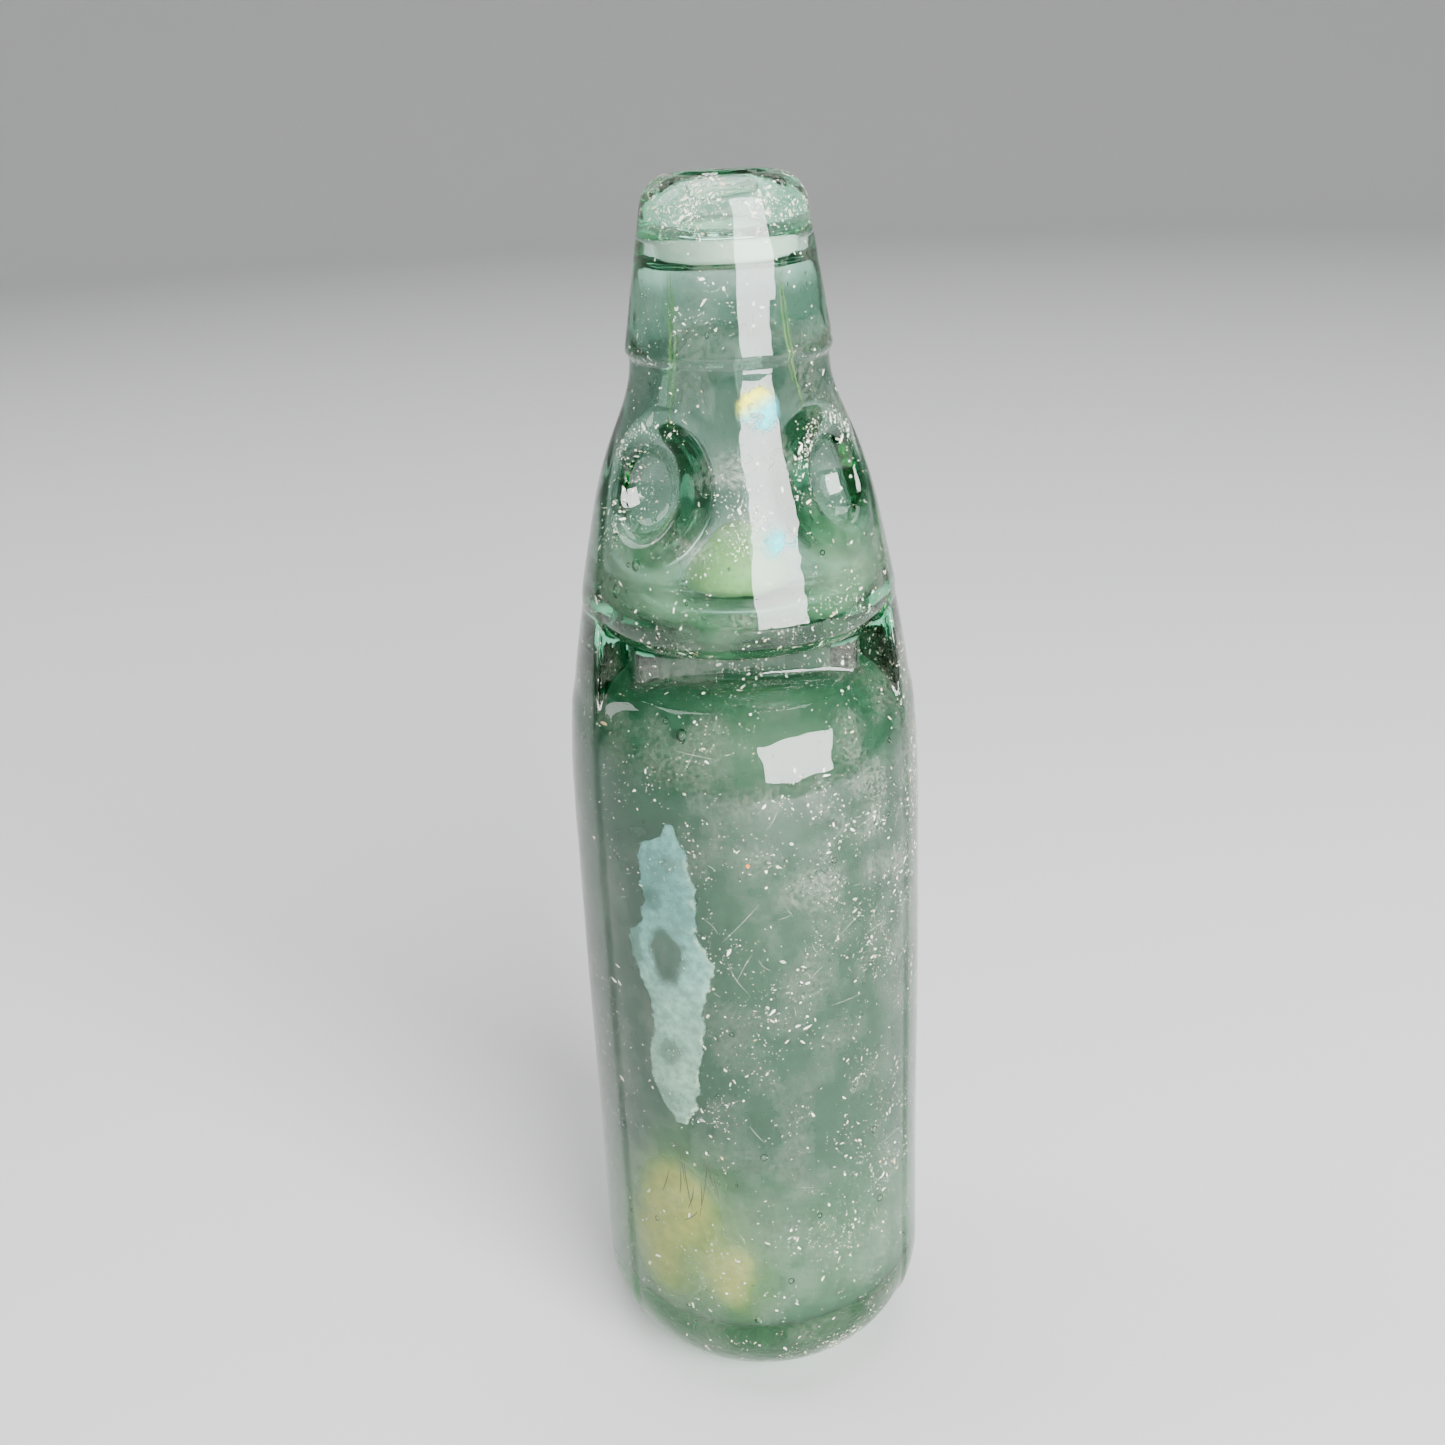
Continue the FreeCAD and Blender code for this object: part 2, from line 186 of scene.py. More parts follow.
def ellipsoid(x, y, z, centre, axes):
    """Roughly the distance to an ellipsoid."""
    px, py, pz = x - centre[0], y - centre[1], z - centre[2]
    near = np.sqrt((px / axes[0]) ** 2 + (py / axes[1]) ** 2 + (pz / axes[2]) ** 2)
    steep = np.sqrt((px / axes[0] ** 2) ** 2 + (py / axes[1] ** 2) ** 2 + (pz / axes[2] ** 2) ** 2)
    return near * (near - 1) / np.maximum(steep, 1e-3)


def turn_up(r, flat, round_):
    """How far a round corner has turned up past the radius where its flat ends."""
    reach = np.clip(r - flat, 0, round_ * 0.985)
    return round_ - np.sqrt(round_ ** 2 - reach ** 2)


def lugs(x, y, z, wide, tall):
    """The two ellipsoids of the front, as one distance."""
    turn = np.where(x < 0, -LUG_TURN_LEFT, LUG_TURN_RIGHT)
    centre = (LUG_REACH * np.sin(turn), -LUG_REACH * np.cos(turn), LUG_RISE)
    return ellipsoid(x, y, z, centre, (wide, wide, tall))


def ripple(x, y, z, seed):
    """A slow unevenness between -1 and 1, as in hand-worked glass."""
    total = 0.0
    for turn in range(4):
        angle = seed * 1.7 + turn * 2.4
        along = x * math.cos(angle) + y * math.sin(angle)
        total = total + np.sin(along / (5.5 + turn) + z / (9.0 + 5 * turn) + seed * (turn + 1.3))
    return total / 4


def outside(x, y, z):
    """Distance to the bottle's outer surface, below 0 inside it."""
    r = np.hypot(x, y)
    heel = np.hypot(np.maximum(r - HEEL_RADIUS + HEEL_ROUND, 0), HEEL_ROUND - z) - HEEL_ROUND
    side = np.where(z < HEEL_ROUND, heel, r - OUTER_RADIUS(z))
    flank = (r - HEEL_RADIUS + HEEL_IN * HEEL_ROUND) * FLANK_ACROSS - (z - HEEL_UP * HEEL_ROUND) * FLANK_ALONG
    side = np.where(z < HEEL_UP * HEEL_ROUND, flank, side)
    kick = KICK_RISE * 0.5 * (1 + np.cos(np.pi * np.minimum(r / FOOT_RADIUS, 1)))
    body = both(side, kick + 0.03 * np.maximum(r - FOOT_RADIUS, 0) ** 2 - z, 2.0)
    body = both(body, z - 215, 1.0)
    cone = (r - COLLAR_RADIUS + COLLAR_TAPER * (z - COLLAR_WIDEST)) * 0.987
    collar = both(both(cone, COLLAR_FOOT - z, 1.3), z - TOP, CROWN_ROUND)
    body = either(body, collar, 0.7)
    upper = both(body, (BOWL_RISE + turn_up(r, BOWL_FLAT_RADIUS, BOWL_ROUND) - z) * 0.8, 2.2)
    dome = ellipsoid(x, y, np.maximum(z, DOME_START), (0, 0, DOME_START), DOME_AXES)
    dome = dome - 3.0 * np.clip((129 - z) / 10, 0, 1) ** 2
    lower = both(both(body, dome, 3.0), z - DOME_RISE, 3.0)
    throat = both(np.abs(x) - THROAT_HALF_WIDTH, np.abs(y) - THROAT_HALF_DEPTH, 2.2)
    web = (WEB_REACH + WEB_SPREAD * (np.abs(y) - WEB_HALF_WIDTH) - np.abs(x)) * 0.891
    waist = both(body, either(throat, web, 0.8), 1.2)
    body = either(either(upper, waist, 1.2), lower, 1.2)
    body = both(body, -lugs(x, y, z, DENT_WIDE, DENT_TALL), 2.4)
    return body + 0.06 * (1 + ripple(x, y, z, 1.0))


def hollow(x, y, z):
    """Distance to the hollow inside the bottle, below 0 within it."""
    r = np.hypot(x, y)
    heel = np.hypot(np.maximum(r - FLOOR_RADIUS, 0), FLOOR_TOP - z) - FLOOR_ROUND
    cavity = np.where(z < FLOOR_TOP, heel, r - CAVITY_RADIUS(z))
    roof = np.hypot(np.maximum(r - ROOF_RADIUS, 0), z - ROOF_START) - ROOF_ROUND
    cavity = np.where(z > ROOF_START, np.maximum(cavity, roof), cavity)
    slot = np.hypot(np.maximum(np.abs(x) - SLOT_HALF_LENGTH + SLOT_HALF_WIDTH, 0), y) - SLOT_HALF_WIDTH
    slot = np.maximum(slot, np.abs(z - SLOT_RISE) - SLOT_HALF_HEIGHT)
    seat = np.hypot(np.maximum(r - SEAT_RADIUS, 0), SEAT_TOP - z) - SEAT_ROUND
    room = np.where(z < SEAT_TOP, seat, r - CHAMBER_RADIUS(z))
    room = both(room, -lugs(x, y, z, NOSE_WIDE, NOSE_TALL), 2.5)
    room = both(room, z - 216.5, 0.5)
    groove = both(r - RING_RADIUS - 0.05, np.abs(z - GROOVE_RISE) - GROOVE_HALF_HEIGHT, 1.2)
    mouth = np.maximum(r - MOUTH_RADIUS, 217 - z)
    inner = either(either(cavity, slot, 1.2), room, 0.8)
    inner = inner + 0.22 * ripple(x, y, z, 4.0) * np.clip((205 - z) / 20, 0, 1)
    return either(either(inner, groove, 0.8), mouth, 0.8)


def glass(x, y, z):
    return both(outside(x, y, z), -hollow(x, y, z), 1.5)


def slopes(field, points, step=0.02):
    """The gradient of a field at each point."""
    result = np.empty_like(points)
    for axis in range(3):
        shift = np.zeros(3)
        shift[axis] = step
        result[:, axis] = (field(*(points + shift).T) - field(*(points - shift).T)) / (2 * step)
    return result


def settle(field, points, rounds=3):
    """Moves points onto the surface where the field is 0, and gives its normals there."""
    for _ in range(rounds):
        slope = slopes(field, points)
        over = field(*points.T) / np.maximum((slope ** 2).sum(1), 0.05)
        points = points - slope * np.clip(over, -0.5, 0.5)[:, None]
    slope = slopes(field, points)
    return points, slope / np.maximum(np.linalg.norm(slope, axis=1), 1e-6)[:, None]


def polygonise(field, low, high, cell):
    """Points and quads of the surface where a field is 0 (surface nets)."""
    axes = [np.arange(a, b + cell, cell) for a, b in zip(low, high)]
    value = field(*np.meshgrid(*axes, indexing="ij"))
    inside = value < 0
    corners = np.zeros([n - 1 for n in inside.shape], np.uint8)
    for offset in np.ndindex(2, 2, 2):
        corners += inside[tuple(slice(o, n - 1 + o) for o, n in zip(offset, inside.shape))]
    cells = np.argwhere((corners > 0) & (corners < 8))
    number = np.full(corners.shape, -1)
    number[tuple(cells.T)] = np.arange(len(cells))
    total, count = np.zeros((len(cells), 3)), np.zeros(len(cells))
    for axis in range(3):
        for pair in np.ndindex(2, 2):
            start = np.zeros(3, int)
            start[[(axis + 1) % 3, (axis + 2) % 3]] = pair
            end = start.copy()
            end[axis] += 1
            a, b = value[tuple((cells + start).T)], value[tuple((cells + end).T)]
            crossed = (a < 0) != (b < 0)
            place = np.tile(start.astype(float), (len(cells), 1))
            place[:, axis] += a / np.where(crossed, a - b, 1)
            total += np.where(crossed[:, None], place, 0)
            count += crossed
    points = (cells + total / count[:, None]) * cell + np.array(low)
    quads = []
    for axis in range(3):
        u, v = (axis + 1) % 3, (axis + 2) % 3
        edges = np.argwhere(np.diff(inside, axis=axis))
        ring = []
        for du, dv in ((1, 1), (0, 1), (0, 0), (1, 0)):
            beside = edges.copy()
            beside[:, u] -= du
            beside[:, v] -= dv
            ring.append(number[tuple(beside.T)])
        ring = np.stack(ring, 1)
        leaving = inside[tuple(edges.T)]
        ring[~leaving] = ring[~leaving][:, ::-1]
        quads.append(ring)
    return points, np.concatenate(quads)


# ---------------------------------------------------------------- random values
LATTICE = RANDOM.random((32, 32, 32))


def noise(points, size, seed):
    """Smooth random values between 0 and 1 that change over about one size."""
    place = points / size + seed * 7.31
    cell = np.floor(place).astype(int)
    part = place - cell
    part = part * part * (3 - 2 * part)
    total = np.zeros(len(points))
    for corner in np.ndindex(2, 2, 2):
        share = np.where(corner, part, 1 - part).prod(1)
        total += share * LATTICE[tuple(((cell + corner) % 32).T)]
    return total


def cloud(points, size, seed):
    """Noise in four octaves, between 0 and 1."""
    return sum(noise(points, size / 2 ** i, seed + i) / 2 ** i for i in range(4)) / 1.875


def hump(value, centre, width):
    """1 at the centre, falling to nearly 0 two widths away."""
    return np.exp(-((value - centre) / width) ** 2)


def spots(turn, rise, rows):
    """The sum of soft oval spots, from rows of (strength, bearing, its spread, height, its spread)."""
    return sum(strength * hump(turn, middle, wide) * hump(rise, height, tall)
               for strength, middle, wide, height, tall in rows)


def step_up(value, low, high):
    """0 below low and 1 above high, smooth between."""
    t = np.clip((value - low) / (high - low), 0, 1)
    return t * t * (3 - 2 * t)


def bearing(points):
    """Degrees round the bottle from its front towards its right."""
    return np.degrees(np.arctan2(points[:, 0], -points[:, 1]))


# ---------------------------------------------------------------- meshes
def make_piece(name, points, faces, normals=None, body="bottle"):
    """A smooth mesh object from points in millimetres, inside the CAD box and riding on a CAD body."""
    mesh = bpy.data.meshes.new(name)
    inside = np.clip(np.asarray(points) * MM, CAD_LOW, CAD_HIGH)
    mesh.from_pydata(inside.tolist(), [], [list(map(int, f)) for f in faces])
    mesh.shade_smooth()
    if normals is not None:
        mesh.normals_split_custom_set_from_vertices(np.asarray(normals).tolist())
    piece = bpy.data.objects.new(name, mesh)
    bpy.context.scene.collection.objects.link(piece)
    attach(piece, body)
    return piece


def ball(rings):
    """Points and faces of a unit icosphere."""
    shape = bmesh.new()
    bmesh.ops.create_icosphere(shape, subdivisions=rings, radius=1)
    points = np.array([v.co[:] for v in shape.verts])
    faces = np.array([[v.index for v in f.verts] for f in shape.faces])
    shape.free()
    return points, faces


def seeds(skin, skin_normals, count):
    """Gas bubbles left in the glass: small hollows, so their faces look inwards."""
    turn, rise, size = np.array(BUBBLES).T
    places, outward = on_skin(outside, turn, rise, 0)
    picks = RANDOM.choice(len(skin), count, replace=False)
    places = np.concatenate([places, skin[picks]])
    outward = np.concatenate([outward, skin_normals[picks]])
    chance = RANDOM.random((3, count))
    size = np.append(size, 0.12 + 0.16 * chance[0] + 0.5 * chance[1] ** 7)
    depth = size + np.append(np.full(len(BUBBLES), 0.45), 0.25 + 2.6 * chance[2])
    centres = places - outward * depth[:, None]
    fits = glass(*centres.T) < -size - 0.2
    points, faces, normals = [], [], []
    fine, coarse = ball(3), ball(2)
    offset = 0
    for centre, radius in zip(centres[fits], size[fits]):
        unit, unit_faces = fine if radius > 0.35 else coarse
        stretch = np.array([1, 1, 1 + 0.7 * RANDOM.random() ** 2]) * radius
        points.append(unit * stretch + centre)
        normals.append(-unit)
        faces.append(unit_faces[:, ::-1] + offset)
        offset += len(unit)
    return np.concatenate(points), np.concatenate(faces), np.concatenate(normals)


def on_skin(field, turn, rise, lift):
    """Points on a field's surface at these bearings and heights, lifted off it, with its normals."""
    turn, rise = np.radians(np.ravel(turn)), np.ravel(rise).astype(float)
    r = OUTER_RADIUS(rise)
    points, normals = settle(field, np.stack([r * np.sin(turn), -r * np.cos(turn), rise], 1), 16)
    return points + normals * lift, normals


def skin_sheet(field, turns, rises, lift):
    """A grid of quads lying on a field's surface: (points, normals, faces)."""
    turn, rise = np.meshgrid(turns, rises, indexing="ij")
    points, normals = on_skin(field, turn, rise, lift)
    columns, rows = turn.shape
    i, j = np.divmod(np.arange((columns - 1) * rows), rows)
    first = (i * rows + j)[j < rows - 1]
    return points, normals, np.stack([first, first + rows, first + rows + 1, first + 1], 1)


def dress(piece, cover, tone, mat):
    """Gives a piece its film material, with how much it covers and its tone at each point."""
    for label, values in (("cover", cover), ("tone", tone)):
        layer = piece.data.attributes.new(label, "FLOAT", "POINT")
        layer.data.foreach_set("value", np.clip(values, 0, 1).astype(np.float32))
    piece.data.materials.append(mat)


def film(name, points, normals, faces, cover, tone, mat):
    """A thin film over the glass, made only where it covers anything."""
    faces = faces[cover[faces].max(1) > 0.02]
    used, number = np.unique(faces, return_inverse=True)
    piece = make_piece(name, points[used], number.reshape(faces.shape), normals[used])
    dress(piece, cover[used], tone[used], mat)


def flakes(places, normals, size, long, lift, corners=FLAKE_CORNERS):
    """Small ragged patches lying on the glass: (points, faces)."""
    count = len(places)
    aside = np.cross(normals, RANDOM.normal(size=(count, 3)))
    aside /= np.linalg.norm(aside, axis=1)[:, None]
    along = np.cross(normals, aside)
    angle = (np.arange(corners) + RANDOM.random((count, corners)) * 0.8) * 2 * np.pi / corners
    reach = size[:, None] * (0.55 + 0.6 * RANDOM.random((count, corners)))
    across, up = reach * np.cos(angle), reach * np.sin(angle) * long[:, None]
    points = (places + normals * lift)[:, None] + across[..., None] * aside[:, None]
    points = points + up[..., None] * along[:, None]
    return points.reshape(-1, 3), np.arange(count * corners).reshape(count, corners)


def ribbons(field, lines, width, lift, steps=9):
    """Hairlines over the glass from (turn, rise, turn, rise, bow) rows: (points, faces)."""
    points, faces = [], []
    for n, (turn_a, rise_a, turn_b, rise_b, bow) in enumerate(lines):
        t = np.linspace(0, 1, steps)
        turn = turn_a + (turn_b - turn_a) * t + bow * 4 * t * (1 - t)
        rise = rise_a + (rise_b - rise_a) * t
        centre, normal = on_skin(field, turn, rise, lift)
        aside = np.cross(normal, np.gradient(centre, axis=0))
        aside *= (width * np.sin(np.pi * (0.08 + 0.84 * t)) / np.linalg.norm(aside, axis=1))[:, None]
        points.append(np.stack([centre - aside, centre + aside], 1).reshape(-1, 3))
        first = n * 2 * steps + 2 * np.arange(steps - 1)
        faces.append(np.stack([first, first + 2, first + 3, first + 1], 1))
    return np.concatenate(points), np.concatenate(faces)


def lathe(name, outline, body, steps=128):
    """A closed ring turned about the axis from an outline of (radius, height) points."""
    outline = np.array(outline)
    turn = np.linspace(0, 2 * np.pi, steps, endpoint=False)
    points = np.stack([
        outline[None, :, 0] * np.cos(turn)[:, None],
        outline[None, :, 0] * np.sin(turn)[:, None],
        np.tile(outline[:, 1], (steps, 1))], -1).reshape(-1, 3)
    n = len(outline)
    i, j = np.divmod(np.arange(steps * n), n)
    after, up = (i + 1) % steps, (j + 1) % n
    faces = np.stack([i * n + j, after * n + j, after * n + up, i * n + up], 1)
    return make_piece(name, points, faces, body=body)


# ---------------------------------------------------------------- materials
def material(name):
    """A new node material: (material, its tree, its Principled node)."""
    mat = bpy.data.materials.new(name)
    mat.use_nodes = True
    tree = mat.node_tree
    return mat, tree, tree.nodes["Principled BSDF"]


def bottle_glass_material():
    mat, tree, shader = material("bottle_glass")
    shader.inputs["Base Color"].default_value = (0.96, 1.0, 0.985, 1)
    shader.inputs["Roughness"].default_value = 0.0
    shader.inputs["IOR"].default_value = 1.52
    shader.inputs["Transmission Weight"].default_value = 1.0
    depth = tree.nodes.new("ShaderNodeVolumeAbsorption")
    depth.inputs["Color"].default_value = (0.0, 0.79, 0.48, 1)
    depth.inputs["Density"].default_value = 64.0
    tree.links.new(depth.outputs[0], tree.nodes["Material Output"].inputs["Volume"])
    return mat


def speckle(tree, place, scale, detail):
    """A noise texture in the piece's own coordinates: its value."""
    texture = tree.nodes.new("ShaderNodeTexNoise")
    texture.inputs["Scale"].default_value = scale
    texture.inputs["Detail"].default_value = detail
    tree.links.new(place.outputs["Object"], texture.inputs["Vector"])
    return texture.outputs["Fac"]


def stretch(tree, value, low, high, start=0.0, stop=1.0):
    """A value carried from between start and stop to between low and high."""
    mapping = tree.nodes.new("ShaderNodeMapRange")
    for label, end in (("From Min", start), ("From Max", stop), ("To Min", low), ("To Max", high)):
        mapping.inputs[label].default_value = end
    tree.links.new(value, mapping.inputs["Value"])
    return mapping.outputs[0]


def blend(tree, one, other, share, target):
    """Feeds a colour that goes from one to another as the share grows."""
    colour = tree.nodes.new("ShaderNodeMix")
    colour.data_type = "RGBA"
    colour.inputs["A"].default_value = (*one, 1)
    colour.inputs["B"].default_value = (*other, 1)
    tree.links.new(share, colour.inputs["Factor"])
    tree.links.new(colour.outputs["Result"], target)


def film_material(name, thin, thick, rough, grain, contrast):
    """A crust, a haze or a painted sheet of light or shade, whose cover and tone come with its mesh, broken
    up by a fine grain.
    """
    mat, tree, shader = material(name)
    place = tree.nodes.new("ShaderNodeTexCoord")
    spread = stretch(tree, speckle(tree, place, grain, 6), 1 - contrast, 1 + contrast, 0.35, 0.65)
    cover, tone = (tree.nodes.new("ShaderNodeAttribute") for _ in range(2))
    cover.attribute_name, tone.attribute_name = "cover", "tone"
    alpha = tree.nodes.new("ShaderNodeMath")
    alpha.operation = "MULTIPLY"
    alpha.use_clamp = True
    tree.links.new(cover.outputs["Fac"], alpha.inputs[0])
    tree.links.new(spread, alpha.inputs[1])
    tree.links.new(alpha.outputs[0], shader.inputs["Alpha"])
    blend(tree, thin, thick, tone.outputs["Fac"], shader.inputs["Base Color"])
    shader.inputs["Roughness"].default_value = rough
    shader.inputs["Specular IOR Level"].default_value = 0.2
    return mat


def mottled_material(name, one, other, rough, grain, relief, alpha=1.0, clear=0.0):
    """A solid colour that drifts between two, with uneven gloss and a fine relief."""
    mat, tree, shader = material(name)
    place = tree.nodes.new("ShaderNodeTexCoord")
    clouds, fine = speckle(tree, place, grain, 5), speckle(tree, place, grain * 6, 5)
    blend(tree, one, other, clouds, shader.inputs["Base Color"])
    tree.links.new(stretch(tree, fine, rough - 0.15, rough + 0.15), shader.inputs["Roughness"])
    bump = tree.nodes.new("ShaderNodeBump")
    bump.inputs["Strength"].default_value = relief
    bump.inputs["Distance"].default_value = 0.0002
    tree.links.new(fine, bump.inputs["Height"])
    tree.links.new(bump.outputs[0], shader.inputs["Normal"])
    shader.inputs["Alpha"].default_value = alpha
    shader.inputs["Transmission Weight"].default_value = clear
    return mat


# ---------------------------------------------------------------- the bottle
def bottle_glass():
    """The whole glass as one mesh, with its gas bubbles. Returns the points of its outside."""
    skin, quads = polygonise(glass, *GLASS_GRID, CELL)
    skin, skin_normals = settle(glass, skin)
    outer = np.abs(hollow(*skin.T)) >= np.abs(outside(*skin.T))
    seed_points, seed_faces, seed_normals = seeds(skin[outer], skin_normals[outer], SEED_COUNT)
    waves = [noise(skin, 3.5, 70 + i) + noise(skin, 1.7, 80 + i) - 1 for i in range(3)]
    wavy = skin_normals + 0.035 * np.stack(waves, 1)
    wavy /= np.linalg.norm(wavy, axis=1)[:, None]
    bottle = make_piece(
        "bottle_glass",
        np.concatenate([skin, seed_points]),
        quads.tolist() + (seed_faces + len(skin)).tolist(),
        np.concatenate([wavy, seed_normals]))
    bottle.data.materials.append(bottle_glass_material())
    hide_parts("bottle_body", "lip_collar")
    return skin[outer]


# ---------------------------------------------------------------- wear on the outside
def wear(points):
    """How thickly the outside is scuffed and pitted at each point."""
    turn, rise = bearing(points), points[:, 2]
    dent = lugs(*points.T, DENT_WIDE, DENT_TALL)
    thick = 0.5 + 11 * hump(rise, 225, 4) + 2 * hump(rise, 200.8, 1.1) + spots(turn, rise, WORN)
    thick += 7 * hump(dent, 2.2, 1.2) * step_up(rise, 182, 186)
    patchy = 0.14 + 2.2 * step_up(cloud(points, 7, 1), 0.36, 0.78)
    return thick * patchy * (0.2 + cloud(points, 1.6, 9) ** 2)


def wear_specks(outer_skin, cream):
    """Thousands of small pale chips, thickest where the bottle was handled, and one grain of rust."""
    chance = wear(outer_skin)
    picks = RANDOM.choice(len(outer_skin), SPECK_COUNT, p=chance / chance.sum())
    places = outer_skin[picks] + RANDOM.normal(size=(SPECK_COUNT, 3)) * 0.4
    places, normals = settle(outside, places)
    size = 0.04 + 0.05 * RANDOM.random(SPECK_COUNT) + 0.25 * RANDOM.random(SPECK_COUNT) ** 12
    points, faces = flakes(places, normals, size, 1 + 2.5 * RANDOM.random(SPECK_COUNT) ** 2, 0.03)
    cover = np.repeat(0.45 + 0.55 * RANDOM.random(SPECK_COUNT), FLAKE_CORNERS)
    tone = np.repeat(RANDOM.random(SPECK_COUNT) ** 6, FLAKE_CORNERS)
    rust_grain()
    film("wear_specks", points, np.repeat(normals, FLAKE_CORNERS, 0), faces, cover, tone, cream)


def rust_grain():
    place, normal = on_skin(outside, -4.5, 119.7, 0)
    points, faces = flakes(place, normal, np.array([0.45]), np.array([1.0]), 0.04)
    full = np.ones(FLAKE_CORNERS)
    film("rust_grain", points, np.repeat(normal, FLAKE_CORNERS, 0), faces, full, full,
         film_material("rust_grain", (0.5, 0.2, 0.05), (0.6, 0.22, 0.04), 0.7, 2500, 0.1))


def scratches(cream):
    """Fine scratches over the front and right of the body."""
    chance = RANDOM.random((5, SCRATCH_COUNT))
    turn = -25 + 95 * chance[0]
    rise = 30 + 112 * chance[1] ** 0.7
    slant = np.radians(360 * chance[2])
    length = 1.5 + 9 * chance[3] ** 3
    turn_to = turn + length * 1.8 * np.cos(slant)
    rise_to = np.minimum(rise + length * np.sin(slant), 143)
    lines = np.stack([turn, rise, turn_to, rise_to, chance[4] * 2 - 1], 1)
    points, faces = ribbons(outside, lines, 0.035, 0.03)
    dress(make_piece("scratches", points, faces), np.full(len(points), 0.4), np.zeros(len(points)), cream)


def milky_patch():
    """The ragged white crust on the left of the body, thin in the middle and bright at its right rim."""
    points, normals, faces = skin_sheet(outside, np.linspace(-54, -12, 96), np.linspace(62, 130, 260), 0.035)
    turn, rise = bearing(points), points[:, 2]
    turn = turn + 5 * (cloud(points, 3.0, 3) - 0.5) + 2.5 * (cloud(points, 0.9, 5) - 0.5)
    height, left, right = np.array(PATCH_EDGES).T
    edge = np.minimum(turn - np.interp(rise, height, left), np.interp(rise, height, right) - turn)
    edge = np.minimum(edge, 4 * np.minimum(rise - 65.5, 126.5 - rise))
    cover = 0.25 + 0.75 * cloud(points, 7, 11)
    for middle, level, wide, tall, keep in PATCH_GAPS:
        clear = 1 - step_up(np.hypot((turn - middle) / wide, (rise - level) / tall), 0.6, 1.15)
        cover *= 1 - (1 - keep) * clear
    rim = hump(edge, 0.8, 0.9) * step_up(cloud(points, 2.5, 17), 0.4, 0.6) * step_up(turn, -36, -28)
    cover = step_up(edge, 0.0, 0.25) * np.maximum(cover, 0.9 * rim)
    film("milky_patch", points, normals, faces, cover, step_up(-rise, -115, -75) * 0.5 + 0.5 * rim,
         film_material("milky_crust", (0.12, 0.28, 0.25), (0.3, 0.44, 0.3), 0.5, 700, 0.25))


def bloom_skin(x, y, z):
    """Just outside the glass."""
    return outside(x, y, z) - 0.02


def outer_bloom():
    """A faint dullness over the whole outside, thicker at the lip and on the front of the neck."""
    points, faces = polygonise(bloom_skin, *BLOOM_GRID, FILM_CELL)
    points, normals = settle(bloom_skin, points)
    turn, rise = bearing(points), points[:, 2]
    scuffs = step_up(cloud(points, 6, 91), 0.42, 0.72)
    bloom = 0.012 + 0.022 * scuffs + 0.06 * hump(rise, 226, 5)
    bloom += spots(turn, rise, [(0.2, 0, 22, 176, 9), (0.06, 36, 34, 118, 20)]) * scuffs
    bloom *= step_up(np.hypot(points[:, 0], points[:, 1]), MOUTH_RADIUS, MOUTH_RADIUS + 1.5)
    film("outer_bloom", points, normals, faces, bloom, scuffs,
         film_material("outer_bloom", (0.62, 0.72, 0.62), (0.85, 0.87, 0.72), 0.5, 1500, 0.9))


# ---------------------------------------------------------------- haze, deposits and painted light and shade inside
def haze_skin(x, y, z):
    """Just inside the wall, behind the face of the hollow, up to the neck."""
    return np.maximum(hollow(x, y, z) - 0.15, z - 213)


def inner_haze_and_painted_shade(points, normals, faces):
    """A dark green sheet in the body that is painted shade, standing in for the darkness dark surroundings
    give the glass, and a paler haze in the chamber, left thin in front of the marble.
    """
    turn, rise = bearing(points), points[:, 2]
    mottle = cloud(points, 14, 21)
    milky = 0.01 + 0.03 * mottle + 0.17 * hump(rise, 30, 19) + spots(turn, rise, MILKY_AND_LIT_SPOTS)
    milky *= step_up(rise, 13.5, 18)
    ragged = rise + 16 * (cloud(points, 9, 31) - 0.5)
    chamber_haze = step_up(ragged, 153, 161) * step_up(-ragged, -177, -167)
    chamber_haze *= 0.4 + 0.8 * cloud(points, 5, 41)
    marble_glow = hump(turn, 0, 24) * hump(rise, 167, 9)
    chamber_haze *= hump(turn, 0, 75) * (1 - 0.95 * marble_glow)
    chamber_cover = (0.42 + 0.5 * chamber_haze) * (1 - 0.9 * marble_glow)
    # the body's dark, nearly closed cover is painted shade; the chamber's thinner cover is haze
    cover = np.where(rise > CHAMBER_FLOOR, chamber_cover, 0.84 + 0.06 * mottle)
    cover *= 1 - step_up(rise, 209, 212.5)
    milky = np.where(rise > CHAMBER_FLOOR, 0.03 + 0.6 * chamber_haze, milky)
    # the thin colour, a very dark green, is the painted shade; the thick colour is milky haze
    film("inner_haze_and_painted_shade", points, normals, faces, cover, milky,
         film_material("inner_haze_and_painted_shade", (0.018, 0.08, 0.045), (0.85, 1.0, 0.68), 0.7, 300, 0.06))


def tan_residue(points, normals, faces):
    """Tan and olive stains low on the left of the body."""
    turn, rise = bearing(points), points[:, 2]
    ragged_turn = turn + 14 * (cloud(points, 8, 51) - 0.5)
    ragged_rise = rise + 10 * (cloud(points, 8, 61) - 0.5)
    stain = spots(ragged_turn, ragged_rise, RAGGED_STAINS) + spots(turn, rise, [(0.45, -30, 30, 36, 18)])
    stain[rise > 90] = 0
    film("tan_residue", points + normals * 0.08, normals, faces,
         step_up(stain, 0.0, 1.2) * 0.9, step_up(stain, 0.4, 1.2),
         film_material("tan_residue", (0.33, 0.45, 0.14), (0.78, 0.5, 0.12), 0.8, 420, 0.1))


def foot_skin(x, y, z):
    """Just inside the underside."""
    return np.maximum(outside(x, y, z) + 0.15, z - 12)


